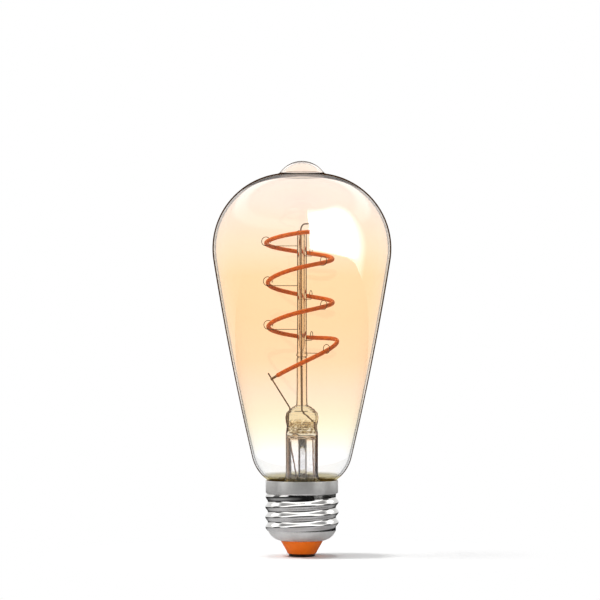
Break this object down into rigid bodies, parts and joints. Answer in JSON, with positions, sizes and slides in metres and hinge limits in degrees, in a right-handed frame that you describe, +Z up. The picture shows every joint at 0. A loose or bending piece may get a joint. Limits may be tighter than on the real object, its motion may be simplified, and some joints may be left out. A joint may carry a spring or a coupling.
{
  "type": "filament light bulb",
  "caption": "Tapered amber glass light bulb with a spiral filament on hooked wires round a glass stem, standing on a threaded metal screw cap with an insulated centre contact.",
  "frame": {"origin": "centre of the centre contact's outer face, the lowest point of the bulb", "axes": "+Z up along the bulb's axis from contact to glass tip, -Y towards the front, +X to the right"},
  "size_m": [0.064, 0.064, 0.1413],
  "materials": {
    "amber_glass": "gloss",
    "clear_glass": "gloss",
    "phosphor_silicone": "satin",
    "copper_strip": "satin",
    "led_chip": "gloss",
    "nickel_wire": "satin",
    "seal_copper": "satin",
    "cement": "matte",
    "nickel_plate": "polished",
    "orange_insulator": "satin",
    "contact_metal": "satin",
    "sleeve_film": "matte",
    "circuit_board": "satin",
    "black_epoxy": "matte",
    "capacitor_sleeve": "gloss",
    "resistor_coat": "matte",
    "ferrite": "matte",
    "winding_copper": "gloss",
    "tinned_steel": "satin"
  },
  "bodies": {
    "root": {"glass_envelope": "amber_glass", "stem_flare": "clear_glass", "stem_rod": "clear_glass", "stem_pillar": "clear_glass", "exhaust_tube": "clear_glass", "filament_coat": "phosphor_silicone", "filament_strip": "copper_strip", "led_chips": "led_chip", "filament_terminals": "nickel_wire", "support_wires": "nickel_wire", "upper_lead": "nickel_wire", "lower_lead": "nickel_wire", "lead_anchor": "nickel_wire", "seal_wires": "seal_copper", "outer_leads": "seal_copper", "cap_cement": "cement", "cap_shell": "nickel_plate", "cap_insulator": "orange_insulator", "centre_contact": "contact_metal", "contact_lead": "seal_copper", "shell_lead": "seal_copper", "driver_sleeve": "sleeve_film", "driver_board": "circuit_board", "bridge_rectifier": "black_epoxy", "driver_controller": "black_epoxy", "bulk_capacitor": "capacitor_sleeve", "fusible_resistor": "resistor_coat", "inductor_core": "ferrite", "inductor_winding": "winding_copper", "radio_board": "circuit_board", "radio_shield": "tinned_steel", "radio_antenna": "winding_copper", "solder_joints": "tinned_steel"}
  },
  "joints": []
}
